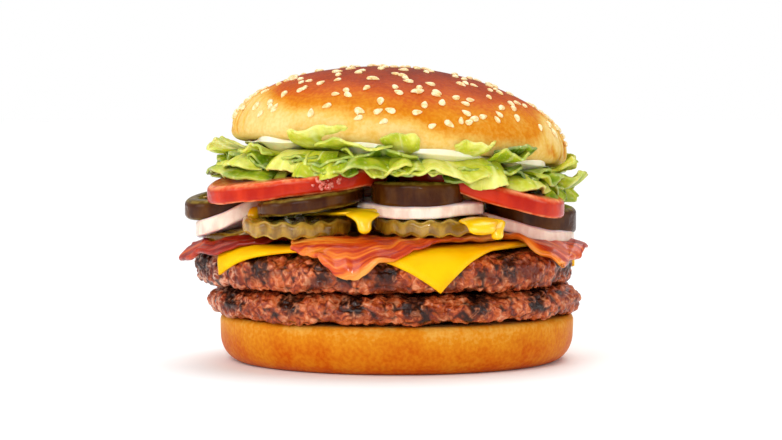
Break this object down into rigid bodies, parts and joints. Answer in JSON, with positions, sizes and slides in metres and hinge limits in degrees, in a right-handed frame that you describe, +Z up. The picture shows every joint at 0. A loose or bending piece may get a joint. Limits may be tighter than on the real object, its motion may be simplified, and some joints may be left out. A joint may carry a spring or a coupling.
{
  "type": "double cheeseburger",
  "caption": "Double cheeseburger in a sesame bun, with beef patties, cheese, bacon, pickles, onion, jalapeno, tomato and lettuce in layers.",
  "frame": {"origin": "middle of the flat that the lower bun rests on", "axes": "+Z up through the layers, the front with the cheese corner faces -Y, +X to the viewer's right"},
  "size_m": [0.1264, 0.1253, 0.0956],
  "materials": {
    "bun": "glazed golden brown crust, paler towards the cut",
    "beef": "coarse ground beef with grill char and a greasy sheen",
    "cheese": "smooth warm processed cheese, satin",
    "bacon": "fried, streaked with fat, greasy",
    "pickle": "wet crinkle-cut gherkin, olive green",
    "mustard": "glossy yellow sauce",
    "onion": "moist raw onion, white with faint purple rings",
    "jalapeno": "pickled pepper, dark olive brown, wet",
    "tomato": "wet ripe tomato with a shiny skin",
    "lettuce": "crisp frilled leaves with veins, soft sheen",
    "mayonnaise": "glossy off-white sauce"
  },
  "bodies": {
    "root": {"bun_heel": "bun", "bun_crown": "bun", "patty_lower": "beef", "patty_upper": "beef", "cheese_slice": "cheese", "bacon_left": "bacon", "bacon_middle": "bacon", "bacon_right": "bacon", "pickle_back": "pickle", "pickle_back_right": "pickle", "pickle_back_left": "pickle", "pickle_centre": "pickle", "pickle_front_left": "pickle", "pickle_front_right": "pickle", "mustard": "mustard", "onion_left": "onion", "onion_middle": "onion", "onion_right": "onion", "onion_back": "onion", "jalapeno_left": "jalapeno", "jalapeno_right": "jalapeno", "jalapeno_front_left": "jalapeno", "jalapeno_front_right": "jalapeno", "tomato_left": "tomato", "tomato_right": "tomato", "tomato_back": "tomato", "lettuce": "lettuce", "mayonnaise": "mayonnaise"}
  },
  "joints": []
}
